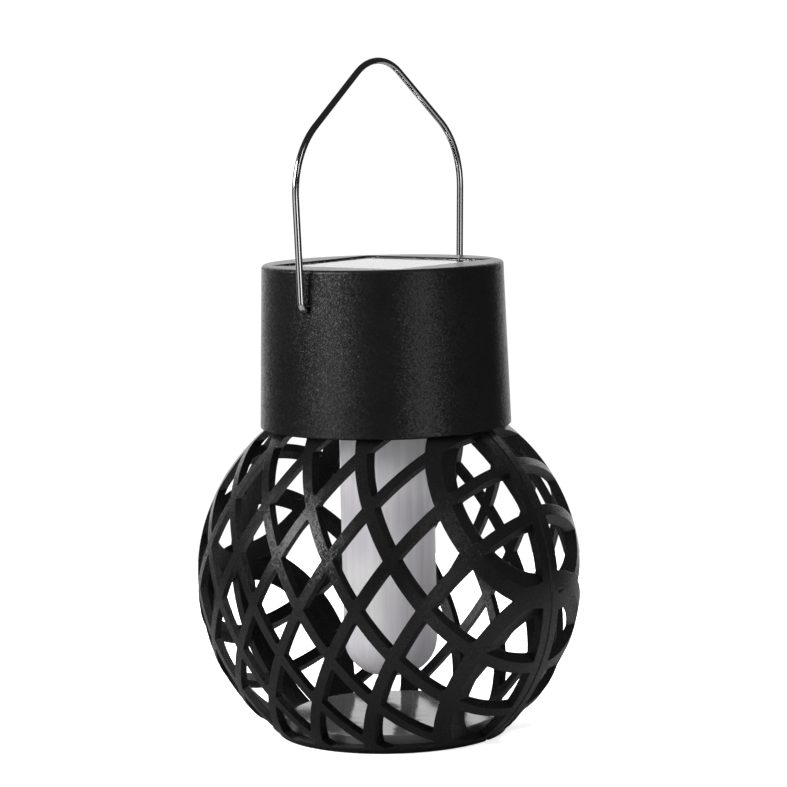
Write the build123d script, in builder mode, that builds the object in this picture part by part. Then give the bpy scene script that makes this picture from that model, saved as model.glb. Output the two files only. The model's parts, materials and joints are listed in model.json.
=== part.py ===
from build123d import *
import os
from math import cos, isclose, radians, sin, sqrt, tan

# Solar garden lantern: a ball-shaped lattice cage in two moulded halves, a round black lamp top
# with the solar panel in it, a frosted light tube hanging inside the cage and a wire bail.
# Millimetres. +Z is up, the origin is the centre of the base and the bail pivots on the X direction.
# The two cage halves meet on a plane that the bayonet leaves a little way round from the plane X = 0.

# ---------------------------------------------------------------- driving dimensions
# ball cage
ball_radius = 61.2
ball_centre_z = 49.7
cage_wall = 2.6
cage_turn = 2.1
foot_radius = 36.45
foot_opening_radius = 27.0
foot_thickness = 2.2
cage_top_z = 98.0
neck_flange_low = 97.8
neck_flange_high = 100.0
neck_flange_radius = 36.9
neck_opening_radius = 30.2
seam_gap = 0.1
seam_groove_width = 0.55
seam_rim = 4.3

# lattice of slanted bars, seen square on to one half
bar_width = 2.9
bar_pitch = 17.0
bar_slope = 60.4
lattice_start = 9.15
lattice_centre_z = 49.2
lattice_rows = 9
lattice_columns = 12
window_low_z = 2.2
window_corner = 0.5

# locating pegs of the two halves
peg_radius = 0.6
peg_root = 1.5
peg_length = 2.4
socket_radius = 0.7
socket_depth = 3.0
peg_spacing = 36.0

# base plate
plate_radius = 33.2
plate_thickness = 2.9
plate_edge_round = 0.6

# bayonet collar on the cage's neck
collar_inner_radius = 31.2
collar_outer_radius = 35.0
collar_top_z = 108.2
collar_lip_radius = 36.9
collar_base_high = 101.4
lock_lip_low = 104.6
lock_lip_high = 106.4
lug_angles = (30, 150, 270)
lug_half_width = 5.0
lug_low = 101.8
lug_high = 104.2
lug_inner_radius = 35.3
entry_half_width = 6.5
lock_turn = 30.0
stop_half_width = 1.5
stop_clearance = 0.8
join_overlap = 0.1

# loose rubber seal on the collar
seal_thickness = 1.0
seal_outer_radius = 34.6
seal_lip_radius = 31.1
seal_lip_width = 0.5
seal_lip_drop = 1.0

# lamp top housing
cap_bottom_z = 98.1
cap_top_z = 149.7
cap_bottom_radius = 39.8
cap_top_radius = 38.2
cap_edge_round = 1.1
cap_edge_bevel = 0.4
skirt_bevel = 0.3
skirt_inner_radius = 37.5
cavity_low_radius = 36.6
cavity_high_radius = 35.4
cavity_top_z = 147.2
well_size = 53.6
well_low_z = 144.0
well_corner = 3.0
lead_way_radius = 2.2
pocket_size = 50.2
pocket_floor_z = 146.2
pocket_corner = 1.2
boss_circle_radius = 27.0
boss_radius = 2.8
boss_angles = (90, 210, 330)
boss_top_z = 144.4
boss_rib_length = 8.0
boss_rib_width = 1.6
boss_rib_reach = 6.0
boss_hole_depth = 9.0

# bail and its pivots
bail_wire_radius = 1.1
pivot_z = 137.6
pivot_bore_radius = 1.17
pivot_mouth_radius = 1.75
pivot_mouth_x = 37.7
pivot_boss_radius = 3.2
pivot_boss_inner_x = 32.6
pivot_boss_outer_x = 37.4
bail_end_x = 31.4
bail_leg_x = 40.9
bail_shoulder_x = 42.9
bail_shoulder_z = 185.1
bail_peak_z = 217.4
bail_elbow_round = 2.4
bail_shoulder_round = 26.0
bail_peak_round = 17.8
bail_end_bevel = 0.25

# solar panel, from the pocket floor upwards
foam_thickness = 0.4
foam_width = 4.0
panel_size = 49.6
panel_corner = 0.8
foam_inset = 0.5
foam_corner = 1.0
panel_board_thickness = 1.0
cell_thickness = 0.3
cell_count = 6
cell_gap = 0.7
cell_length = 45.0
panel_cover_thickness = 1.3
panel_cover_bevel = 0.25

# chassis under the housing
chassis_radius = 37.3
chassis_low_z = 109.2
chassis_thickness = 2.0
light_socket_outer_radius = 19.2
light_socket_inner_radius = 17.15
light_socket_low_z = 103.2
lead_hole_radius = 2.6
switch_slot_play = 0.7
switch_slot_corner = 0.6

# light tube and its parts
tube_radius = 14.95
tube_wall = 1.5
tube_bottom_z = 17.8
tube_corner = 12.0
tube_flange_radius = 16.9
tube_flange_low = 106.4
tube_flange_high = 108.0
retainer_inner_radius = 15.5
retainer_sleeve_radius = 17.05
retainer_bezel_radius = 19.4
retainer_bezel_height = 1.4
retainer_edge_round = 0.5
retainer_notches = 12
retainer_notch_radius = 0.9
retainer_notch_offset = 0.3
led_board_radius = 16.8
led_radius = 2.4
led_circle_radius = 7.0
led_length = 4.4
led_count = 3
led_dome_round = 2.3
led_rim = 0.4
led_rim_height = 0.8

# switch
switch_x = -25.0
switch_width = 6.0
switch_length = 12.0
switch_height = 5.0
switch_travel = 3.0
knob_width = 3.2
knob_length = 4.0
knob_low_z = 105.4
knob_top_z = 113.1
knob_clearance = 0.1
knob_corner = 0.3
knob_rib_gap = 0.45
knob_rib_pitch = 1.1
knob_rib_depth = 0.5
switch_corner = 0.4

# battery and its holder
cell_radius = 7.25
cell_body_length = 49.5
nub_radius = 2.75
nub_length = 1.0
battery_x = 11.5
battery_clearance = 0.1
holder_wall = 1.1
holder_floor = 1.2
holder_inner_length = 55.2
holder_top_z = 121.0
holder_corner = 0.8
cell_edge_round = 0.6
contact_thickness = 0.4
contact_size = 9.0
spring_wire_radius = 0.35
spring_radius = 3.0
spring_pitch = 1.2

# circuit board
board_x = -11.0
board_width = 16.0
board_length = 32.0
board_thickness = 1.6
standoff_height = 4.0
standoff_radius = 1.5
standoff_inset = 2.0
board_corner = 0.8
board_hole_depth = 3.7
chip_corner = 0.2

# parts on the board: x and y size with height, or radius with height, then the place on the board
board_chips = (((4.0, 5.0, 1.5), (1.0, 4.5)), ((3.0, 1.8, 1.2), (-3.5, -1.5)), ((1.6, 3.2, 0.9), (4.5, -3.0)))
board_cans = (((2.6, 5.0), (1.5, -9.5)), ((2.0, 6.0), (-3.5, 9.5)))

# small screws
screw_radius = 0.9
screw_head_radius = 1.9
screw_head_height = 1.2
screw_hole_play = 0.02
screw_clearance = 0.2
screw_sink = 0.1
screw_head_round = 0.4
screw_tip_bevel = 0.35
screw_slot_width = 0.5
screw_slot_depth = 0.7
screw_end_gap = 0.1
collar_screw_length = 7.0
chassis_screw_bite = 8.5
board_screw_length = 5.0
foot_screw_bite = 2.0
screw_circle_radius = 33.1
foot_screw_circle_radius = 30.0
cage_screw_angles = (45, 135, 225, 315)
chassis_screw_radius = 1.2
chassis_screw_head_radius = 2.3

# insulated leads
lead_radius = 0.6
lead_spacing = 3.0
lead_loop_height = 7.5
panel_lead_bend_z = 136.0
lamp_pad_y = 7.0
battery_pad_y = 11.5
battery_lead_reach = 1.8

# ---------------------------------------------------------------- derived dimensions
chassis_high_z = chassis_low_z + chassis_thickness
board_low_z = chassis_high_z + standoff_height
board_high_z = board_low_z + board_thickness
cell_axis_z = chassis_high_z + holder_floor + cell_radius + battery_clearance
panel_board_low = pocket_floor_z + foam_thickness
panel_cells_low = panel_board_low + panel_board_thickness
panel_cover_low = panel_cells_low + cell_thickness
panel_lead_x = board_x + 5.0
lead_pad_x = board_x + 6.5
switch_pad_x = board_x - 6.8
battery_pad_x = board_x + 4.0
battery_tab_x = battery_x - 3.0
battery_lead_high_z = cell_axis_z + 11.0


# ---------------------------------------------------------------- shared shapes
def on_circle(radius, angle):
    """Point on a circle about the Z axis."""
    return (radius * cos(radians(angle)), radius * sin(radians(angle)))


def ball_width(radius, z):
    """Radius at height z of a sphere about the centre of the ball."""
    return sqrt(radius**2 - (z - ball_centre_z) ** 2)


def disc(radius, low, high, mode=Mode.ADD):
    """Round plate about the Z axis in the part being built."""
    with BuildSketch(Plane.XY.offset(low)) as outline:
        Circle(radius)
    extrude(outline.sketch, amount=high - low, mode=mode)


def ring(inner, outer, low, high, mode=Mode.ADD):
    """Flat ring about the Z axis in the part being built."""
    with BuildSketch(Plane.XY.offset(low)) as outline:
        Circle(outer)
        Circle(inner, mode=Mode.SUBTRACT)
    extrude(outline.sketch, amount=high - low, mode=mode)


def ring_sector(inner, outer, middle, half_width, low, high, mode=Mode.ADD):
    """Part of a flat ring, half_width degrees to each side of the middle angle."""
    with BuildSketch(Plane.XY.offset(low)) as outline:
        with BuildLine():
            outside = CenterArc((0, 0), outer, middle - half_width, 2 * half_width)
            inside = CenterArc((0, 0), inner, middle - half_width, 2 * half_width)
            Line(outside @ 0, inside @ 0)
            Line(outside @ 1, inside @ 1)
        make_face()
    extrude(outline.sketch, amount=high - low, mode=mode)


def pillars(radius, spots, low, high, mode=Mode.ADD):
    """Upright round pillars, or holes, at the given spots."""
    with BuildSketch(Plane.XY.offset(low)) as outline:
        with Locations(*spots):
            Circle(radius)
    extrude(outline.sketch, amount=high - low, mode=mode)


def block(x_size, y_size, centre, low, high, mode=Mode.ADD, corner=0.0):
    """Upright block centred on a point, with optional rounded upright edges."""
    with BuildSketch(Plane.XY.offset(low)) as outline:
        with Locations(centre):
            if corner > 0:
                RectangleRounded(x_size, y_size, corner)
            else:
                Rectangle(x_size, y_size)
    extrude(outline.sketch, amount=high - low, mode=mode)


def cross_head_screws(spots, seat_z, length, upwards=True, radius=screw_radius,
                      head_radius=screw_head_radius):
    """Separate pan-head screws that clamp on the plane z = seat_z."""
    way = 1 if upwards else -1
    face_z = seat_z - way * screw_head_height
    with BuildPart() as screws:
        pillars(head_radius, spots, seat_z, face_z)
        fillet(screws.edges().filter_by(GeomType.CIRCLE).group_by(Axis.Z)[0 if upwards else -1],
               screw_head_round)
        pillars(radius, spots, seat_z, seat_z + way * length)
        chamfer(screws.edges().filter_by(GeomType.CIRCLE).group_by(Axis.Z)[-1 if upwards else 0],
                screw_tip_bevel)
        with BuildSketch(Plane.XY.offset(face_z)):
            with Locations(*spots):
                Rectangle(head_radius * 1.2, screw_slot_width)
                Rectangle(screw_slot_width, head_radius * 1.2)
        extrude(amount=way * screw_slot_depth, mode=Mode.SUBTRACT)
    return screws


def lead_pair(route, corner_rounds, step):
    """Two insulated leads side by side, a step apart, along one route."""
    with BuildPart() as leads:
        for side in (-0.5, 0.5):
            points = [Vector(*point) + Vector(*step) * side for point in route]
            with BuildLine() as path:
                FilletPolyline(*points, radius=corner_rounds)
            with BuildSketch(Plane(origin=path.line @ 0, z_dir=path.line % 0)):
                Circle(lead_radius)
            sweep(path=path.line)
    return leads


def save(builder, name):
    """Label a finished piece and write it to its own file."""
    builder.part.label = name
    export_step(builder.part, f"parts/{name}.step")


os.makedirs("parts", exist_ok=True)


# ---------------------------------------------------------------- cage halves
def lattice_windows():
    """Centres of the diamond windows, as seen square on to a cage half."""
    row_height = bar_pitch / 2 * tan(radians(bar_slope))
    centres = []
    for row in range(-(lattice_rows // 2), lattice_rows // 2 + 1):
        shift = bar_pitch / 2 if row % 2 == 0 else 0.0
        for column in range(-lattice_columns // 2, lattice_columns // 2):
            across = lattice_start + shift + column * bar_pitch
            if sqrt(across**2 + (row * row_height) ** 2) < ball_radius + bar_pitch:
                centres.append((across, row * row_height))
    return centres


window_half_width = bar_pitch / 2 - bar_width / 2 / sin(radians(bar_slope))
window_half_height = window_half_width * tan(radians(bar_slope))
peg_circle_radius = ball_radius - cage_wall / 2
peg_heights = (-peg_spacing, 0.0, peg_spacing)
peg_spots = [(sqrt(peg_circle_radius**2 - height**2), ball_centre_z + height) for height in peg_heights]

with BuildSketch() as window:
    Polygon(
        (window_half_width, 0),
        (0, window_half_height),
        (-window_half_width, 0),
        (0, -window_half_height),
        align=None,
    )
    fillet(window.vertices(), window_corner)

with BuildPart() as cage_half:
    # whole shell, with its foot ring and its neck flange, cut in half at the seam
    with BuildSketch(Plane.XZ):
        with BuildLine():
            foot = Polyline(
                (ball_width(ball_radius - cage_wall, foot_thickness), foot_thickness),
                (foot_opening_radius, foot_thickness),
                (foot_opening_radius, 0),
                (foot_radius, 0),
                (foot_radius, ball_centre_z - sqrt(ball_radius**2 - foot_radius**2)),
            )
            neck = Polyline(
                (ball_width(ball_radius, cage_top_z), cage_top_z),
                (neck_flange_radius, cage_top_z),
                (neck_flange_radius, neck_flange_high),
                (neck_opening_radius, neck_flange_high),
                (neck_opening_radius, neck_flange_low),
                (ball_width(ball_radius - cage_wall, neck_flange_low), neck_flange_low),
            )
            ThreePointArc(foot @ 1, (ball_radius, ball_centre_z), neck @ 0)
            ThreePointArc(neck @ 1, (ball_radius - cage_wall, ball_centre_z), foot @ 0)
        make_face()
    revolve(axis=Axis.Z)
    split(bisect_by=Plane.YZ.offset(-seam_gap / 2), keep=Keep.BOTTOM)
    # diamond windows, all pulled straight along X, stop short of the seam
    with BuildSketch(Plane(origin=(-seam_rim, 0, lattice_centre_z), x_dir=(0, -1, 0), z_dir=(-1, 0, 0))):
        with Locations(*lattice_windows()):
            add(window.sketch)
        with Locations((0, (window_low_z + neck_flange_low) / 2 - lattice_centre_z)):
            Rectangle(3 * ball_radius, neck_flange_low - window_low_z, mode=Mode.INTERSECT)
    extrude(amount=ball_radius, mode=Mode.SUBTRACT)
    # shallow bevel along the outer edge of the seam
    with BuildSketch(Plane.XZ):
        with BuildLine():
            Polyline(
                (0, ball_centre_z + ball_radius - seam_groove_width),
                (0, ball_centre_z + ball_radius + 1),
                (-seam_groove_width - 1, ball_centre_z + ball_radius + 1),
                close=True,
            )
        make_face()
    revolve(axis=Axis((0, 0, ball_centre_z), (1, 0, 0)), mode=Mode.SUBTRACT)
    # pegs on one side of the seam, sockets on the other, so two equal halves close on each other
    with BuildSketch(Plane.YZ.offset(-seam_gap / 2)):
        with Locations(*peg_spots):
            Circle(socket_radius)
    extrude(amount=-socket_depth, mode=Mode.SUBTRACT)
    with BuildSketch(Plane.YZ.offset(-peg_root)):
        with Locations(*[(-y, z) for y, z in peg_spots]):
            Circle(peg_radius)
    extrude(amount=peg_root + peg_length)
    # screw holes of this half, in the foot ring and in the neck flange
    for angle in cage_screw_angles[1:3]:
        foot_spot = on_circle(foot_screw_circle_radius, angle)
        neck_spot = on_circle(screw_circle_radius, angle)
        for seat, depth in (((*foot_spot, 0), foot_thickness),
                            ((*neck_spot, neck_flange_low), neck_flange_high - neck_flange_low)):
            with Locations(Plane(origin=seat, z_dir=(0, 0, -1))):
                CounterBoreHole(screw_radius + screw_clearance, screw_head_radius + screw_clearance,
                                screw_head_height + screw_sink, depth=depth)

with BuildPart() as cage_shell_front:
    add(cage_half.part, rotation=(0, 0, cage_turn))
save(cage_shell_front, "cage_shell_front")

with BuildPart() as cage_shell_back:
    add(cage_half.part, rotation=(0, 0, cage_turn + 180))
save(cage_shell_back, "cage_shell_back")

# ---------------------------------------------------------------- base plate and its screws
foot_screw_spots = [on_circle(foot_screw_circle_radius, angle + cage_turn) for angle in cage_screw_angles]
foot_screw_seat = screw_head_height + screw_sink
foot_screw_length = foot_thickness + foot_screw_bite - foot_screw_seat

with BuildPart() as base_plate:
    disc(plate_radius, foot_thickness, foot_thickness + plate_thickness)
    fillet(base_plate.edges().group_by(Axis.Z)[-1], plate_edge_round)
    pillars(screw_radius + screw_hole_play, foot_screw_spots, foot_thickness,
            foot_thickness + foot_screw_bite + screw_end_gap, mode=Mode.SUBTRACT)
save(base_plate, "base_plate")

foot_screws = cross_head_screws(foot_screw_spots, foot_screw_seat, foot_screw_length)
save(foot_screws, "foot_screws")

# ---------------------------------------------------------------- bayonet collar, its screws and its seal
collar_screw_spots = [on_circle(screw_circle_radius, angle + cage_turn) for angle in cage_screw_angles]
collar_screw_seat = neck_flange_low + screw_head_height + screw_sink

with BuildPart() as neck_collar:
    ring(collar_inner_radius, collar_lip_radius, neck_flange_high, collar_base_high)
    ring(collar_inner_radius, collar_outer_radius, collar_base_high, collar_top_z)
    ring(collar_outer_radius - join_overlap, collar_lip_radius, lock_lip_low, lock_lip_high)
    for angle in lug_angles:
        # way in for a lug through the upper lip
        ring_sector(collar_outer_radius, collar_lip_radius + 1, angle, entry_half_width,
                    lock_lip_low, lock_lip_high, mode=Mode.SUBTRACT)
        # end stops between the two lips
        home_stop = angle - lock_turn - lug_half_width - stop_clearance - stop_half_width
        back_stop = angle + lug_half_width + stop_clearance + stop_half_width
        for stop in (home_stop, back_stop):
            ring_sector(collar_outer_radius - join_overlap, collar_lip_radius, stop, stop_half_width,
                        collar_base_high, lock_lip_low)
    pillars(screw_radius + screw_hole_play, collar_screw_spots, neck_flange_high,
            collar_screw_seat + collar_screw_length + screw_end_gap, mode=Mode.SUBTRACT)
save(neck_collar, "neck_collar")

collar_screws = cross_head_screws(collar_screw_spots, collar_screw_seat, collar_screw_length)
save(collar_screws, "collar_screws")

with BuildPart() as neck_seal:
    ring(seal_lip_radius - seal_lip_width, seal_outer_radius, collar_top_z, collar_top_z + seal_thickness)
    ring(seal_lip_radius - seal_lip_width, seal_lip_radius, collar_top_z - seal_lip_drop, collar_top_z)
save(neck_seal, "neck_seal")

# ---------------------------------------------------------------- lamp top housing
boss_spots = [on_circle(boss_circle_radius, angle) for angle in boss_angles]

with BuildPart() as cap_housing:
    # drum, open below, with a step inside for the chassis to seat against
    with BuildSketch(Plane.XZ):
        with BuildLine():
            Polyline(
                (skirt_inner_radius + skirt_bevel, cap_bottom_z),
                (cap_bottom_radius - cap_edge_bevel, cap_bottom_z),
                (cap_bottom_radius, cap_bottom_z + cap_edge_bevel),
                (cap_top_radius, cap_top_z),
                (0, cap_top_z),
                (0, cavity_top_z),
                (cavity_high_radius, cavity_top_z),
                (cavity_low_radius, chassis_high_z),
                (skirt_inner_radius, chassis_high_z),
                (skirt_inner_radius, cap_bottom_z + skirt_bevel),
                close=True,
            )
        make_face()
    revolve(axis=Axis.Z)
    fillet(cap_housing.edges().group_by(Axis.Z)[-1], cap_edge_round)
    # square well that carries the panel
    block(well_size, well_size, (0, 0), well_low_z, cavity_top_z, corner=well_corner)
    block(pocket_size, pocket_size, (0, 0), pocket_floor_z, cap_top_z, mode=Mode.SUBTRACT,
          corner=pocket_corner)
    pillars(lead_way_radius, [(panel_lead_x, 0)], well_low_z, pocket_floor_z, mode=Mode.SUBTRACT)
    # screw bosses, each tied to the wall by a rib
    pillars(boss_radius, boss_spots, chassis_high_z, boss_top_z)
    with BuildSketch(Plane.XY.offset(chassis_high_z)):
        for angle in boss_angles:
            with PolarLocations(boss_circle_radius + boss_rib_reach, 1, start_angle=angle):
                Rectangle(boss_rib_length, boss_rib_width)
    extrude(amount=boss_top_z - chassis_high_z)
    pillars(chassis_screw_radius + screw_hole_play, boss_spots, chassis_high_z,
            chassis_high_z + boss_hole_depth, mode=Mode.SUBTRACT)
    # pivot bosses and stepped pivot holes of the bail
    for side in (-1, 1):
        with BuildSketch(Plane.YZ.offset(side * pivot_boss_inner_x)):
            with Locations((0, pivot_z)):
                Circle(pivot_boss_radius)
        extrude(amount=side * (pivot_boss_outer_x - pivot_boss_inner_x))
        with BuildSketch(Plane.YZ.offset(side * bail_end_x)):
            with Locations((0, pivot_z)):
                Circle(pivot_bore_radius)
        extrude(amount=side * (cap_bottom_radius - bail_end_x), mode=Mode.SUBTRACT)
        with BuildSketch(Plane.YZ.offset(side * pivot_mouth_x)):
            with Locations((0, pivot_z)):
                Circle(pivot_mouth_radius)
        extrude(amount=side * (cap_bottom_radius - pivot_mouth_x), mode=Mode.SUBTRACT)
    # bayonet lugs inside the skirt
    for angle in lug_angles:
        ring_sector(lug_inner_radius, skirt_inner_radius + join_overlap, angle, lug_half_width,
                    lug_low, lug_high)
save(cap_housing, "cap_housing")

# ---------------------------------------------------------------- solar panel
foam_size = panel_size - 2 * foam_inset
foam_opening = foam_size - 2 * foam_width

with BuildPart() as panel_foam_pad:
    block(foam_size, foam_size, (0, 0), pocket_floor_z, panel_board_low, corner=foam_corner)
    block(foam_opening, foam_opening, (0, 0), pocket_floor_z, panel_board_low, mode=Mode.SUBTRACT,
          corner=foam_corner)
save(panel_foam_pad, "panel_foam_pad")

with BuildPart() as panel_board:
    block(panel_size, panel_size, (0, 0), panel_board_low, panel_cells_low, corner=panel_corner)
save(panel_board, "panel_board")

with BuildPart() as solar_cells:
    cell_width = (cell_length - (cell_count - 1) * cell_gap) / cell_count
    with BuildSketch(Plane.XY.offset(panel_cells_low)):
        with GridLocations(cell_width + cell_gap, 0, cell_count, 1):
            Rectangle(cell_width, cell_length)
    extrude(amount=cell_thickness)
save(solar_cells, "solar_cells")

with BuildPart() as panel_cover:
    block(panel_size, panel_size, (0, 0), panel_cover_low, panel_cover_low + panel_cover_thickness,
          corner=panel_corner)
    chamfer(panel_cover.edges().group_by(Axis.Z)[-1], panel_cover_bevel)
save(panel_cover, "panel_cover")

# ---------------------------------------------------------------- bail
with BuildPart() as bail_wire:
    with BuildLine(Plane.XZ) as bail_path:
        FilletPolyline(
            (-bail_end_x, pivot_z),
            (-bail_leg_x, pivot_z),
            (-bail_shoulder_x, bail_shoulder_z),
            (0, bail_peak_z),
            (bail_shoulder_x, bail_shoulder_z),
            (bail_leg_x, pivot_z),
            (bail_end_x, pivot_z),
            radius=[bail_elbow_round, bail_shoulder_round, bail_peak_round, bail_shoulder_round,
                    bail_elbow_round],
        )
    with BuildSketch(Plane(origin=bail_path.line @ 0, z_dir=bail_path.line % 0)):
        Circle(bail_wire_radius)
    sweep(path=bail_path.line)
    chamfer(bail_wire.edges().filter_by(GeomType.CIRCLE).filter_by(
        lambda edge: isclose(abs(edge.center().X), bail_end_x, abs_tol=0.01)), bail_end_bevel)
save(bail_wire, "bail_wire")

# ---------------------------------------------------------------- chassis
standoff_x = board_width / 2 - standoff_inset
standoff_y = board_length / 2 - standoff_inset
standoff_spots = [(board_x + i * standoff_x, j * standoff_y) for i in (-1, 1) for j in (-1, 1)]
board_screw_spots = [standoff_spots[0], standoff_spots[3]]
switch_slot_length = knob_length + switch_travel

with BuildPart() as lamp_chassis:
    disc(chassis_radius, chassis_low_z, chassis_high_z)
    ring(light_socket_inner_radius, light_socket_outer_radius, light_socket_low_z, chassis_low_z)
    pillars(lead_hole_radius, [(0, 0)], chassis_low_z, chassis_high_z, mode=Mode.SUBTRACT)
    pillars(standoff_radius, standoff_spots, chassis_high_z, board_low_z)
    pillars(screw_radius + screw_hole_play, board_screw_spots, board_low_z - board_hole_depth, board_low_z,
            mode=Mode.SUBTRACT)
    pillars(chassis_screw_radius + screw_clearance, boss_spots, chassis_low_z, chassis_high_z,
            mode=Mode.SUBTRACT)
    block(knob_width + 2 * switch_slot_play, switch_slot_length + 2 * switch_slot_play, (switch_x, 0),
          chassis_low_z, chassis_high_z, mode=Mode.SUBTRACT, corner=switch_slot_corner)
save(lamp_chassis, "lamp_chassis")

chassis_screws = cross_head_screws(boss_spots, chassis_low_z, chassis_thickness + chassis_screw_bite,
                                   radius=chassis_screw_radius, head_radius=chassis_screw_head_radius)
save(chassis_screws, "chassis_screws")

# ---------------------------------------------------------------- light tube, its retainer and the lamps
with BuildPart() as light_tube:
    with BuildSketch(Plane.XZ):
        with BuildLine():
            outer_flat = tube_radius - tube_corner
            inner_radius = tube_radius - tube_wall
            inner_corner = tube_corner - tube_wall
            corner_z = tube_bottom_z + tube_corner
            outer_start = Line((0, tube_bottom_z), (outer_flat, tube_bottom_z))
            outer_bend = CenterArc((outer_flat, corner_z), tube_corner, -90, 90)
            rim = Polyline(
                (tube_radius, corner_z),
                (tube_radius, tube_flange_low),
                (tube_flange_radius, tube_flange_low),
                (tube_flange_radius, tube_flange_high),
                (inner_radius, tube_flange_high),
                (inner_radius, corner_z),
            )
            inner_bend = CenterArc((outer_flat, corner_z), inner_corner, -90, 90)
            Polyline((outer_flat, tube_bottom_z + tube_wall), (0, tube_bottom_z + tube_wall),
                     (0, tube_bottom_z))
        make_face()
    revolve(axis=Axis.Z)
save(light_tube, "light_tube")

with BuildPart() as tube_retainer:
    ring(retainer_inner_radius, retainer_sleeve_radius, light_socket_low_z, tube_flange_low)
    ring(retainer_inner_radius, retainer_bezel_radius, light_socket_low_z - retainer_bezel_height,
         light_socket_low_z)
    fillet(tube_retainer.edges().group_by(Axis.Z)[0].sort_by(SortBy.LENGTH)[-1],
           retainer_edge_round)
    with BuildSketch(Plane.XY.offset(light_socket_low_z - retainer_bezel_height)):
        with PolarLocations(retainer_bezel_radius + retainer_notch_offset, retainer_notches):
            Circle(retainer_notch_radius)
    extrude(amount=retainer_bezel_height, mode=Mode.SUBTRACT)
save(tube_retainer, "tube_retainer")

with BuildPart() as led_board:
    disc(led_board_radius, tube_flange_high, chassis_low_z)
save(led_board, "led_board")

led_spots = [on_circle(led_circle_radius, 90 + 360 * i / led_count) for i in range(led_count)]
with BuildPart() as leds:
    pillars(led_radius, led_spots, tube_flange_high - led_length, tube_flange_high)
    fillet(leds.edges().group_by(Axis.Z)[0], led_dome_round)
    pillars(led_radius + led_rim, led_spots, tube_flange_high - led_rim_height, tube_flange_high)
save(leds, "leds")

# ---------------------------------------------------------------- switch
with BuildPart() as switch_body:
    block(switch_width, switch_length, (switch_x, 0), chassis_high_z, chassis_high_z + switch_height,
          corner=switch_corner)
    block(knob_width + 2 * knob_clearance, switch_slot_length + 2 * knob_clearance, (switch_x, 0),
          chassis_high_z, knob_top_z + knob_clearance, mode=Mode.SUBTRACT)
save(switch_body, "switch_body")

with BuildPart() as switch_knob:
    block(knob_width, knob_length, (switch_x, -switch_travel / 2), knob_low_z, knob_top_z,
          corner=knob_corner)
    with BuildSketch(Plane.XY.offset(knob_low_z)):
        with Locations((switch_x, -switch_travel / 2)):
            with GridLocations(0, knob_rib_pitch, 1, 3):
                Rectangle(2 * knob_width, knob_rib_gap)
    extrude(amount=knob_rib_depth, mode=Mode.SUBTRACT)
save(switch_knob, "switch_knob")

# ---------------------------------------------------------------- battery and its holder
holder_inner_width = 2 * (cell_radius + battery_clearance)
holder_end_y = holder_inner_length / 2
nub_tip_y = holder_end_y - contact_thickness
cell_front_y = nub_tip_y - nub_length
cell_rear_y = cell_front_y - cell_body_length

with BuildPart() as battery_holder:
    block(holder_inner_width + 2 * holder_wall, holder_inner_length + 2 * holder_wall, (battery_x, 0),
          chassis_high_z, holder_top_z, corner=holder_corner)
    block(holder_inner_width, holder_inner_length, (battery_x, 0), chassis_high_z + holder_floor,
          holder_top_z, mode=Mode.SUBTRACT)
save(battery_holder, "battery_holder")

with BuildPart() as battery_cell:
    with BuildSketch(Plane.XZ.offset(-cell_rear_y)):
        with Locations((battery_x, cell_axis_z)):
            Circle(cell_radius)
    extrude(amount=-cell_body_length)
    fillet(battery_cell.edges().filter_by(GeomType.CIRCLE), cell_edge_round)
    with BuildSketch(Plane.XZ.offset(-cell_front_y)):
        with Locations((battery_x, cell_axis_z)):
            Circle(nub_radius)
    extrude(amount=-nub_length)
save(battery_cell, "battery_cell")

with BuildPart() as battery_contact:
    with BuildSketch(Plane.XZ.offset(-nub_tip_y)):
        with Locations((battery_x, cell_axis_z)):
            Rectangle(contact_size, contact_size)
    extrude(amount=-contact_thickness)
save(battery_contact, "battery_contact")

with BuildPart() as battery_spring:
    with BuildSketch(Plane.XZ.offset(holder_end_y)):
        with Locations((battery_x, cell_axis_z)):
            Rectangle(contact_size, contact_size)
    extrude(amount=-contact_thickness)
    spring_start_y = contact_thickness - holder_end_y + spring_wire_radius / 2
    spring_height = cell_rear_y - spring_start_y - spring_wire_radius
    with BuildLine() as spring_path:
        Helix(pitch=spring_pitch, height=spring_height, radius=spring_radius,
              center=(battery_x, spring_start_y, cell_axis_z), direction=(0, 1, 0))
    with BuildSketch(Plane(origin=spring_path.line @ 0, z_dir=spring_path.line % 0)):
        Circle(spring_wire_radius)
    sweep(path=spring_path.line, is_frenet=True)
save(battery_spring, "battery_spring")

# ---------------------------------------------------------------- circuit board
with BuildPart() as circuit_board:
    block(board_width, board_length, (board_x, 0), board_low_z, board_high_z, corner=board_corner)
    pillars(screw_radius + screw_clearance, board_screw_spots, board_low_z, board_high_z,
            mode=Mode.SUBTRACT)
save(circuit_board, "circuit_board")

board_screws = cross_head_screws(board_screw_spots, board_high_z, board_screw_length, upwards=False)
save(board_screws, "board_screws")

with BuildPart() as board_components:
    for (x_size, y_size, height), (x, y) in board_chips:
        block(x_size, y_size, (board_x + x, y), board_high_z, board_high_z + height, corner=chip_corner)
    for (radius, height), (x, y) in board_cans:
        pillars(radius, [(board_x + x, y)], board_high_z, board_high_z + height)
save(board_components, "board_components")

# ---------------------------------------------------------------- leads inside the housing
lead_top_z = board_high_z + lead_loop_height
panel_leads = lead_pair(
    [(panel_lead_x, 0, panel_board_low), (panel_lead_x, 0, panel_lead_bend_z),
     (lead_pad_x, 0, lead_top_z), (lead_pad_x, 0, board_high_z)],
    [12.0, 12.0], (0, lead_spacing / 2, 0))
save(panel_leads, "panel_leads")

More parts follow.
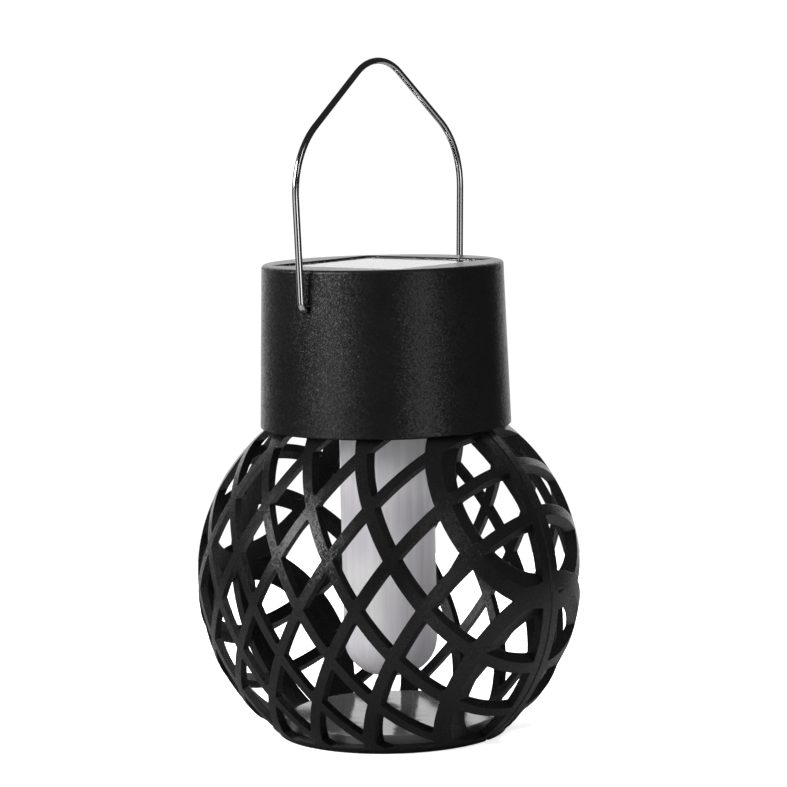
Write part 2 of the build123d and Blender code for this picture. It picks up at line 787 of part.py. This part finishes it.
lamp_leads = lead_pair(
    [(0, 0, chassis_low_z), (0, 0, lead_top_z), (lead_pad_x, lamp_pad_y, lead_top_z),
     (lead_pad_x, lamp_pad_y, board_high_z)],
    [2.5, 2.0], (lead_spacing / 2, lead_spacing / 3, 0))
save(lamp_leads, "lamp_leads")

switch_leads = lead_pair(
    [(switch_x, 0, chassis_high_z + switch_height), (switch_x, 0, lead_top_z),
     (switch_pad_x, 0, lead_top_z), (switch_pad_x, 0, board_high_z)],
    [3.0, 3.0], (0, lead_spacing, 0))
save(switch_leads, "switch_leads")

with BuildPart() as battery_leads:
    for side in (-1, 1):
        end_y = side * (holder_end_y + holder_wall)
        route = [
            (battery_tab_x, end_y, cell_axis_z),
            (battery_tab_x, end_y + side * battery_lead_reach, cell_axis_z),
            (battery_tab_x, end_y + side * battery_lead_reach, battery_lead_high_z),
            (battery_pad_x, side * battery_pad_y, battery_lead_high_z),
            (battery_pad_x, side * battery_pad_y, board_high_z),
        ]
        with BuildLine() as battery_path:
            FilletPolyline(*route, radius=[1.2, 4.0, 4.0])
        with BuildSketch(Plane(origin=battery_path.line @ 0, z_dir=battery_path.line % 0)):
            Circle(lead_radius)
        sweep(path=battery_path.line)
save(battery_leads, "battery_leads")
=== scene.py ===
import json
import math

import bmesh
import bpy
from mathutils import Matrix, Vector

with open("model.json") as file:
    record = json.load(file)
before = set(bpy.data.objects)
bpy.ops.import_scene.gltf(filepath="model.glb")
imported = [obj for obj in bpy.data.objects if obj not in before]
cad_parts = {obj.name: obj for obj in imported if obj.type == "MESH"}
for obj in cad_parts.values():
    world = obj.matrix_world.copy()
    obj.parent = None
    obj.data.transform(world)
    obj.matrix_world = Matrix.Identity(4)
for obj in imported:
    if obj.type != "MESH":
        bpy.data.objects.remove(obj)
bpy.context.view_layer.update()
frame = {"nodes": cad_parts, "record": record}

MM = 0.001

# ---------------------------------------------------------------- camera, as the photograph was taken
BALL_CENTRE = Vector((0.0, 0.0, 0.0497))
VIEW_AZIMUTH = -52.5        # degrees, 0 looks along +Y
VIEW_PITCH = 6.32           # degrees down
VIEW_ROLL = -1.26           # degrees, negative is clockwise
VIEW_DISTANCE = 0.9192      # from the centre of the ball, level
VIEW_HEIGHT = 0.1600        # above the centre of the ball
VIEW_SIDE = 0.0026          # to the right of it
VIEW_LENS = 133.4           # focal length in millimetres, for this sensor width
SENSOR_WIDTH = 36.0
CLIP_NEAR, CLIP_FAR = 0.01, 20.0


def direction(azimuth, elevation=0.0):
    """Unit vector from the lantern towards a place seen at that azimuth and elevation."""
    a, e = math.radians(azimuth), math.radians(elevation)
    return Vector((math.sin(a) * math.cos(e), -math.cos(a) * math.cos(e), math.sin(e)))


def make_camera():
    """Camera in front of the lantern, looking a little down on it."""
    away = -direction(VIEW_AZIMUTH)
    right = Vector((away.y, -away.x, 0.0))
    up = Vector((0.0, 0.0, 1.0))
    pitch, roll = math.radians(VIEW_PITCH), math.radians(VIEW_ROLL)
    look = away * math.cos(pitch) - up * math.sin(pitch)
    lift = away * math.sin(pitch) + up * math.cos(pitch)
    x_axis = right * math.cos(roll) + lift * math.sin(roll)
    y_axis = lift * math.cos(roll) - right * math.sin(roll)
    data = bpy.data.cameras.new("camera")
    data.sensor_width = SENSOR_WIDTH
    data.lens = VIEW_LENS
    data.clip_start = CLIP_NEAR
    data.clip_end = CLIP_FAR
    camera = bpy.data.objects.new("camera", data)
    place = BALL_CENTRE + right * VIEW_SIDE - away * VIEW_DISTANCE + up * VIEW_HEIGHT
    turn = Matrix((x_axis, y_axis, -look)).transposed().to_4x4()
    camera.matrix_world = Matrix.Translation(place) @ turn
    bpy.context.scene.collection.objects.link(camera)
    bpy.context.scene.camera = camera


make_camera()


# ---------------------------------------------------------------- node helpers
NOISE_LOW, NOISE_HIGH = 0.3, 0.7    # most of a noise lies between these


class NodeTree:
    """Short calls that add common nodes to a node tree."""

    def __init__(self, tree):
        self.tree = tree

    def node(self, kind, inputs=None, **settings):
        """New node with these settings, and these values or links at its inputs."""
        made = self.tree.nodes.new(kind)
        for key, value in settings.items():
            setattr(made, key, value)
        for key, value in (inputs or {}).items():
            self.feed(made.inputs[key], value)
        return made

    def feed(self, socket, value):
        """Link an output to the socket, or set its value."""
        if isinstance(value, bpy.types.NodeSocket):
            self.tree.links.new(value, socket)
        else:
            socket.default_value = value

    def math(self, operation, a, b=0.0):
        """Sum, product or other result of two numbers."""
        return self.node("ShaderNodeMath", {0: a, 1: b}, operation=operation).outputs[0]

    def remap(self, value, low, high, to_low, to_high, **settings):
        """Value with the range low to high carried over to the range to_low to to_high."""
        made = self.node("ShaderNodeMapRange", {
            "Value": value, "From Min": low, "From Max": high,
            "To Min": to_low, "To Max": to_high}, **settings)
        return made.outputs["Result"]

    def seen_by_camera(self):
        """One where the camera looks straight at it, and zero for lighting and reflections."""
        return self.node("ShaderNodeLightPath").outputs["Is Camera Ray"]


class Shader(NodeTree):
    """A new material with its main shader and its own coordinates."""

    def __init__(self, name):
        self.material = bpy.data.materials.new(name)
        self.material.use_nodes = True
        super().__init__(self.material.node_tree)
        self.main = self.tree.nodes["Principled BSDF"]
        self.place = self.node("ShaderNodeTexCoord").outputs["Object"]

    def set(self, **values):
        """Values or links for the main shader's inputs, with _ for the spaces in their names."""
        for key, value in values.items():
            self.feed(self.main.inputs[key.replace("_", " ")], value)

    def stretched(self, x, y, z):
        """Own coordinates with each direction scaled."""
        return self.node("ShaderNodeMapping", {"Vector": self.place, "Scale": (x, y, z)}).outputs["Vector"]

    def noise(self, size, detail=3.0, roughness=0.55, at=None):
        """Noise whose features are about size metres across."""
        made = self.node("ShaderNodeTexNoise", {
            "Vector": at or self.place, "Scale": 1.0 / size, "Detail": detail, "Roughness": roughness})
        return made.outputs["Fac"]

    def spread(self, noise, low, high):
        """Noise spread over the range low to high."""
        return self.remap(noise, NOISE_LOW, NOISE_HIGH, low, high)

    def cells(self, size, feature="F1", randomness=1.0):
        """Distance inside cells that are about size metres across, in units of that size."""
        made = self.node("ShaderNodeTexVoronoi", {
            "Vector": self.place, "Scale": 1.0 / size, "Randomness": randomness}, feature=feature)
        return made.outputs["Distance"]

    def cell_colours(self, size):
        """Random colour for each cell, the cells about size metres across."""
        return self.node("ShaderNodeTexVoronoi", {"Vector": self.place, "Scale": 1.0 / size}).outputs["Color"]

    def channel(self, colour, index):
        """Red, green or blue of a colour, as index 0, 1 or 2."""
        return self.node("ShaderNodeSeparateColor", {"Color": colour}).outputs[index]

    def along(self, axis):
        """Own coordinate along X, Y or Z, in metres."""
        return self.node("ShaderNodeSeparateXYZ", {"Vector": self.place}).outputs[axis]

    def mix(self, amount, a, b):
        """Colour a where amount is zero, and b where it is one."""
        made = self.node("ShaderNodeMix", data_type="RGBA")
        self.feed(made.inputs["Factor"], amount)
        self.feed(made.inputs["A"], a)
        self.feed(made.inputs["B"], b)
        return made.outputs["Result"]

    def facets(self, size, tilt, start=None):
        """Grain of small facets, size metres across, each tilted its own way by about tilt radians at most
        along each axis, from the start normal or the surface's own. Gives the tilted normal and one random
        number for each facet."""
        cell = self.cell_colours(size)
        centred = self.node("ShaderNodeVectorMath", {0: cell, 1: (0.5, 0.5, 0.5)}, operation="SUBTRACT")
        lean = self.node("ShaderNodeVectorMath", {0: centred.outputs[0]}, operation="SCALE")
        self.feed(lean.inputs["Scale"], 2.0 * tilt)
        flat = start or self.node("ShaderNodeNewGeometry").outputs["Normal"]
        tilted = self.node("ShaderNodeVectorMath", {0: flat, 1: lean.outputs[0]}, operation="ADD")
        unit = self.node("ShaderNodeVectorMath", {0: tilted.outputs[0]}, operation="NORMALIZE")
        return unit.outputs[0], self.channel(cell, 2)

    def bump(self, *layers, start=None):
        """Layers of (height, depth in metres) added into one bump on the main shader, over the start
        normal or the surface's own. Gives the finished material."""
        normal = start
        for height, depth in layers:
            made = self.node("ShaderNodeBump", {"Height": height, "Strength": 1.0, "Distance": depth})
            if normal is not None:
                self.feed(made.inputs["Normal"], normal)
            normal = made.outputs["Normal"]
        self.feed(self.main.inputs["Normal"], normal)
        return self.material


def grey(value):
    """Colour of equal red, green and blue."""
    return (value, value, value, 1)


# ---------------------------------------------------------------- materials
MOULD_DEEP = (0.0030, 0.0030, 0.0032, 1)
MOULD_PALE = (0.0052, 0.0050, 0.0049, 1)
MOULD_GRAIN = 0.30 * MM


def black_moulding(s, cloud, coarse, tilt, shine, swell, start=None):
    """Satin black with slow waves, swell deep, and a sparkling grain of small facets. The facets are
    tilted by up to tilt, and the range of their gloss is shine."""
    facet, chance = s.facets(MOULD_GRAIN, tilt, start=start)
    s.set(Base_Color=s.mix(cloud, MOULD_DEEP, MOULD_PALE), Roughness=s.spread(cloud, 0.27, 0.33),
          Specular_IOR_Level=s.remap(chance, 0.0, 1.0, *shine))
    return s.bump((cloud, swell), (coarse, 0.02 * MM), start=facet)


def cage_plastic():
    """Black moulding of the cage, its edges a little rounded."""
    s = Shader("cage_plastic")
    cloud = s.noise(14 * MM, detail=2.0)
    coarse = s.noise(1.1 * MM, detail=2.0)
    edge = s.node("ShaderNodeBevel", {"Radius": 0.28 * MM}, samples=3).outputs["Normal"]
    return black_moulding(s, cloud, coarse, tilt=0.11, shine=(0.30, 0.58), swell=0.04 * MM, start=edge)


def cap_plastic():
    """Black moulding of the lamp top's housing, with a stronger grain."""
    s = Shader("cap_plastic")
    cloud = s.noise(22 * MM, detail=3.0)
    coarse = s.noise(1.3 * MM, detail=2.0)
    return black_moulding(s, cloud, coarse, tilt=0.13, shine=(0.36, 0.56), swell=0.05 * MM)


def gloss_plastic():
    """Polished dark base plate with a slight ripple and a little dust. Its grey ground, lighter than black,
    is partly painted reflection.
    """
    s = Shader("gloss_plastic")
    ripple = s.noise(9 * MM, detail=1.0)
    dust = s.remap(s.noise(0.7 * MM, detail=4.0, roughness=0.7), 0.60, 0.72, 0.0, 1.0)
    # grey ground lifted above black: partly painted reflection of the bright backdrop; the paler flecks are
    # dust
    base = s.mix(s.math("MULTIPLY", dust, 0.3), grey(0.085), grey(0.20))
    rough = s.math("ADD", s.spread(ripple, 0.07, 0.14), s.math("MULTIPLY", dust, 0.15))
    s.set(Base_Color=base, Roughness=rough, Specular_IOR_Level=1.0)
    return s.bump((ripple, 0.12 * MM), (s.noise(0.4 * MM), 0.004 * MM))


def inner_plastic():
    """Matt black moulding of the parts inside the lamp top."""
    s = Shader("inner_plastic")
    cloud = s.noise(8 * MM, detail=2.0)
    grain = s.noise(0.35 * MM, detail=3.0)
    base = s.mix(cloud, (0.020, 0.020, 0.021, 1), (0.032, 0.031, 0.031, 1))
    s.set(Base_Color=base, Roughness=s.spread(grain, 0.48, 0.62))
    return s.bump((cloud, 0.05 * MM), (grain, 0.03 * MM))


def bright_wire():
    """Plated steel wire with small dull patches and fine wear."""
    s = Shader("bright_wire")
    wear = s.noise(0.4 * MM, detail=3.0)
    patch = s.noise(5 * MM, detail=2.0)
    dull = s.math("ADD", s.remap(patch, 0.35, 0.7, 0.09, 0.15), s.math("MULTIPLY", wear, 0.04))
    base = s.mix(wear, (0.68, 0.68, 0.69, 1), (0.78, 0.78, 0.79, 1))
    s.set(Base_Color=base, Metallic=1.0, Roughness=dull)
    return s.bump((patch, 0.006 * MM))


def frosted_plastic():
    """Milky tube with a frosted skin, soft lengthways flow lines and faint darker clouds of painted shade."""
    s = Shader("frosted_plastic")
    flow = s.noise(2.2 * MM, detail=4.0, at=s.stretched(1.0, 1.0, 0.05))
    # cloud: faint darker clouds in the tube's colour, painted shade
    cloud = s.noise(24 * MM, detail=1.0)
    frost = s.noise(0.3 * MM, detail=2.0)
    # tone: the flow lines plus the painted-shade clouds
    tone = s.math("ADD", s.math("MULTIPLY", flow, 0.4), s.math("MULTIPLY", cloud, 0.6))
    base = s.mix(s.remap(tone, 0.40, 0.60, 0.0, 1.0), (0.76, 0.735, 0.795, 1), (0.99, 0.965, 1.0, 1))
    s.set(Base_Color=base, Roughness=s.remap(flow, 0.35, 0.7, 0.34, 0.46), IOR=1.49,
          Transmission_Weight=0.30, Subsurface_Weight=0.7, Subsurface_Radius=(1.0, 1.0, 1.05),
          Subsurface_Scale=4.0 * MM, Coat_Weight=0.25, Coat_Roughness=0.2)
    return s.bump((flow, 0.08 * MM), (frost, 0.012 * MM))


def panel_window():
    """Clear cover of the panel: glossy, a little hammered, so it mirrors what is round it softly."""
    s = Shader("panel_window")
    wave = s.noise(5 * MM, detail=2.0)
    orange = s.noise(0.9 * MM, detail=2.0)
    s.set(Base_Color=(0.93, 0.95, 0.97, 1), Roughness=s.spread(orange, 0.03, 0.08), IOR=1.52,
          Transmission_Weight=1.0, Specular_IOR_Level=0.6)
    return s.bump((wave, 0.03 * MM), (orange, 0.010 * MM))


FINGER_PITCH = 1.5 * MM
FINGER_HALF_WIDTH = 0.09 * MM


def silicon():
    """Dark blue crystals with fine silver fingers across them."""
    s = Shader("silicon")
    crystal = s.channel(s.cell_colours(3.5 * MM), 0)
    from_finger = s.math("PINGPONG", s.along("Y"), FINGER_PITCH / 2)
    finger = s.remap(from_finger, 0.0, FINGER_HALF_WIDTH, 1.0, 0.0)
    blue = s.mix(crystal, (0.006, 0.010, 0.035, 1), (0.014, 0.026, 0.085, 1))
    s.set(Base_Color=s.mix(finger, blue, (0.42, 0.43, 0.45, 1)), Roughness=0.28, Specular_IOR_Level=0.6)
    return s.bump((finger, 0.02 * MM), (crystal, 0.004 * MM))


def white_laminate():
    """White laminate under the cells, with a faint weave."""
    s = Shader("white_laminate")
    weave = s.noise(0.6 * MM, detail=2.0, at=s.stretched(1.0, 0.25, 1.0))
    s.set(Base_Color=s.mix(weave, (0.60, 0.61, 0.62, 1), (0.72, 0.73, 0.74, 1)), Roughness=0.5)
    return s.bump((weave, 0.02 * MM))


def foam():
    """Black foam with fine pores."""
    s = Shader("foam")
    pores = s.cells(0.5 * MM)
    s.set(Base_Color=s.mix(pores, grey(0.015), grey(0.06)), Roughness=0.9)
    return s.bump((pores, 0.15 * MM))


def soft_rubber():
    """Dull seal rubber with a bloom of talc."""
    s = Shader("soft_rubber")
    bloom = s.noise(2.0 * MM, detail=4.0, roughness=0.65)
    s.set(Base_Color=s.mix(bloom, grey(0.016), grey(0.045)), Roughness=s.spread(bloom, 0.6, 0.8))
    return s.bump((s.noise(0.3 * MM), 0.03 * MM))


def zinc_steel():
    """Zinc-plated screw steel with a fine grain and paler patches."""
    s = Shader("zinc_steel")
    grain = s.noise(0.25 * MM, detail=3.0)
    patch = s.noise(1.2 * MM, detail=2.0)
    base = s.mix(patch, (0.42, 0.42, 0.41, 1), (0.60, 0.60, 0.58, 1))
    s.set(Base_Color=base, Metallic=1.0, Roughness=s.spread(grain, 0.25, 0.42))
    return s.bump((grain, 0.02 * MM))


def white_mask():
    """White solder mask of the LED board."""
    s = Shader("white_mask")
    grain = s.noise(0.3 * MM, detail=3.0)
    patch = s.noise(4 * MM)
    s.set(Base_Color=s.mix(patch, (0.70, 0.70, 0.67, 1), (0.80, 0.80, 0.78, 1)), Roughness=0.42)
    return s.bump((grain, 0.01 * MM))


def led_resin():
    """Clear resin with a yellow tint from the phosphor under it."""
    s = Shader("led_resin")
    swirl = s.noise(1.0 * MM, detail=2.0)
    s.set(Base_Color=s.mix(swirl, (0.86, 0.74, 0.36, 1), (0.93, 0.86, 0.58, 1)), Roughness=0.08,
          Transmission_Weight=0.55, IOR=1.5)
    return s.bump((swirl, 0.02 * MM))


def pale_plastic():
    """Off-white switch knob."""
    s = Shader("pale_plastic")
    grain = s.noise(0.3 * MM, detail=2.0)
    s.set(Base_Color=s.mix(grain, (0.66, 0.66, 0.63, 1), (0.76, 0.76, 0.73, 1)), Roughness=0.38)
    return s.bump((grain, 0.02 * MM))


PALE_END_START = 16 * MM


def battery_sleeve():
    """Green shrink sleeve with a fine wrinkle, pale grey at one end of the cell."""
    s = Shader("battery_sleeve")
    wrinkle = s.noise(1.5 * MM, detail=3.0, at=s.stretched(1.0, 0.3, 1.0))
    pale_end = s.math("GREATER_THAN", s.along("Y"), PALE_END_START)
    base = s.mix(pale_end, (0.02, 0.16, 0.06, 1), (0.55, 0.56, 0.54, 1))
    base = s.mix(s.math("MULTIPLY", wrinkle, 0.25), base, (0.10, 0.25, 0.14, 1))
    s.set(Base_Color=base, Roughness=s.spread(wrinkle, 0.18, 0.32))
    return s.bump((wrinkle, 0.05 * MM))


def nickel():
    """Nickel-plated spring steel with a fine grain."""
    s = Shader("nickel")
    grain = s.noise(0.2 * MM, detail=3.0)
    s.set(Base_Color=s.mix(grain, (0.52, 0.49, 0.44, 1), (0.66, 0.63, 0.58, 1)), Metallic=1.0,
          Roughness=s.spread(grain, 0.18, 0.32))
    return s.bump((grain, 0.01 * MM))


def circuit_laminate():
    """Green solder mask with raised tracks under it and round tinned pads."""
    s = Shader("circuit_laminate")
    track = s.cells(2.2 * MM, feature="DISTANCE_TO_EDGE", randomness=0.6)
    track = s.remap(track, 0.0, 0.12, 1.0, 0.0)
    pads = s.remap(s.cells(3.1 * MM, randomness=0.2), 0.16, 0.20, 1.0, 0.0)
    base = s.mix(track, (0.010, 0.085, 0.032, 1), (0.020, 0.150, 0.055, 1))
    base = s.mix(pads, base, (0.55, 0.56, 0.55, 1))
    s.set(Base_Color=base, Roughness=0.32, Metallic=s.math("MULTIPLY", pads, 0.8))
    return s.bump((track, 0.03 * MM), (pads, 0.03 * MM))


def component_package():
    """Dark moulded package with a fine grain."""
    s = Shader("component_package")
    grain = s.noise(0.25 * MM, detail=3.0)
    s.set(Base_Color=s.mix(grain, grey(0.018), grey(0.035)), Roughness=0.5)
    return s.bump((grain, 0.03 * MM))


def lead_sleeve(name, colour):
    """Soft insulated lead."""
    s = Shader(name)
    rub = s.noise(0.8 * MM, detail=3.0)
    dull = tuple(0.7 * c for c in colour[:3]) + (1,)
    s.set(Base_Color=s.mix(rub, dull, colour), Roughness=s.spread(rub, 0.3, 0.45))
    return s.bump((rub, 0.02 * MM))


MATERIALS = {
    "cage_black": cage_plastic(),
    "gloss_black": gloss_plastic(),
    "cap_black": cap_plastic(),
    "chassis_black": inner_plastic(),
    "bail_chrome": bright_wire(),
    "frosted_tube": frosted_plastic(),
    "panel_window": panel_window(),
    "solar_silicon": silicon(),
    "panel_backing": white_laminate(),
    "foam": foam(),
    "seal_rubber": soft_rubber(),
    "screw_steel": zinc_steel(),
    "led_board_white": white_mask(),
    "led_resin": led_resin(),
    "knob_white": pale_plastic(),
    "battery_wrap": battery_sleeve(),
    "contact_nickel": nickel(),
    "board_green": circuit_laminate(),
    "component_black": component_package(),
    "lead_red": lead_sleeve("lead_red", (0.42, 0.02, 0.02, 1)),
    "lead_white": lead_sleeve("lead_white", (0.70, 0.70, 0.66, 1)),
}

for part in frame["record"]["subparts"]:
    mesh = frame["nodes"][part["node"]].data
    mesh.materials.clear()
    mesh.materials.append(MATERIALS[part["material_slot"]])


# ---------------------------------------------------------------- studio
WHITE = (1, 1, 1, 1)
FLOOR_RADIUS = 0.34
FLOOR_SIDES = 96
FLOOR_GAP = 0.1 * MM                # keeps the floor off the face that stands on it
PAPER_LIGHT, PAPER_DARK = 0.88, 0.86
PAPER_BOUNCE = 0.14                 # what the paper throws back at the lantern
PAPER_GLOW = 0.6                    # added for the camera alone
BACKDROP_GLOW = 1.05
LIGHT_DISTANCE = 1.1
AIM = Vector((0.0, 0.0, 0.09))      # what the lights face

# soft lights of the room: azimuth from the camera's side, elevation, half-angle of the core,
# half-angle of the edge, brightness
ROOM_LIGHTS = (
    (180, 10, 22, 42, 1.45),
    (-140, 10, 8, 36, 0.25),
    (-48, -8, 4, 22, 1.15),
    (36, -8, 3, 15, 2.7),
)
ROOM_BASE = 0.026

# softboxes: azimuth from the camera's side, elevation, width, height, brightness, whether the lantern
# mirrors it
SOFTBOXES = {
    "key": (-62, 26, 0.75, 0.45, 7.5, True),
    "strip": (36, 28, 0.14, 0.45, 3.0, True),
    "fill_left": (-55, 12, 0.80, 0.80, 8.5, False),
    "fill_right": (70, 12, 0.80, 0.80, 6.0, False),
    "overhead": (180, 84, 1.20, 1.20, 8.0, False),
}


def make_floor():
    """Round table top of plain pale paper. The camera sees it white, but it throws little light back."""
    s = Shader("floor_paper")
    tone = s.noise(0.35, detail=2.0)
    fibre = s.noise(0.6 * MM, detail=2.0)
    seen = s.seen_by_camera()
    paper = s.mix(tone, grey(PAPER_DARK), grey(PAPER_LIGHT))
    s.set(Base_Color=s.mix(seen, grey(PAPER_BOUNCE), paper), Roughness=0.8, Specular_IOR_Level=0.15,
          Emission_Color=WHITE, Emission_Strength=s.math("MULTIPLY", seen, PAPER_GLOW))
    mesh = bpy.data.meshes.new("floor")
    made = bmesh.new()
    bmesh.ops.create_circle(made, cap_ends=True, radius=FLOOR_RADIUS, segments=FLOOR_SIDES)
    made.to_mesh(mesh)
    made.free()
    mesh.materials.append(s.bump((fibre, 0.01 * MM)))
    floor = bpy.data.objects.new("floor", mesh)
    floor.location.z = -FLOOR_GAP
    bpy.context.scene.collection.objects.link(floor)


def softbox(name, azimuth, elevation, width, height, brightness, glossy):
    """Rectangular soft light that faces the lantern. Unless it is glossy, the lantern doesn't mirror it."""
    data = bpy.data.lights.new(name, "AREA")
    data.shape = "RECTANGLE"
    data.size = width
    data.size_y = height
    data.energy = brightness * math.pi * width * height
    light = bpy.data.objects.new(name, data)
    towards = direction(VIEW_AZIMUTH + azimuth, elevation)
    light.location = AIM + towards * LIGHT_DISTANCE
    light.rotation_euler = towards.to_track_quat("Z", "Y").to_euler()
    light.visible_glossy = glossy
    bpy.context.scene.collection.objects.link(light)


def room_light(s):
    """Brightness of the room in each direction: a dim base and the soft lights, added up."""
    place = s.node("ShaderNodeTexCoord").outputs["Generated"]
    total = ROOM_BASE
    for azimuth, elevation, core, edge, brightness in ROOM_LIGHTS:
        centre = direction(VIEW_AZIMUTH + azimuth, elevation)
        facing = s.node("ShaderNodeVectorMath", {0: place, 1: centre}, operation="DOT_PRODUCT")
        light = s.remap(facing.outputs["Value"], math.cos(math.radians(edge)), math.cos(math.radians(core)),
                        0.0, brightness, interpolation_type="SMOOTHSTEP")
        total = s.math("ADD", light, total)
    return total


def make_world():
    """White studio: white to the camera, a bright backdrop behind the lantern, a dim room in front."""
    world = bpy.data.worlds.new("studio")
    bpy.context.scene.world = world
    world.use_nodes = True
    world.node_tree.nodes.clear()
    s = NodeTree(world.node_tree)
    room = s.node("ShaderNodeBackground", {"Strength": room_light(s)})
    backdrop = s.node("ShaderNodeBackground", {"Color": WHITE, "Strength": BACKDROP_GLOW})
    shown = s.node("ShaderNodeMixShader", {
        "Fac": s.seen_by_camera(), 1: room.outputs["Background"], 2: backdrop.outputs["Background"]})
    s.node("ShaderNodeOutputWorld", {"Surface": shown.outputs["Shader"]})


make_floor()
make_world()
for light_name, values in SOFTBOXES.items():
    softbox(light_name, *values)

bpy.context.scene.view_settings.view_transform = "Standard"
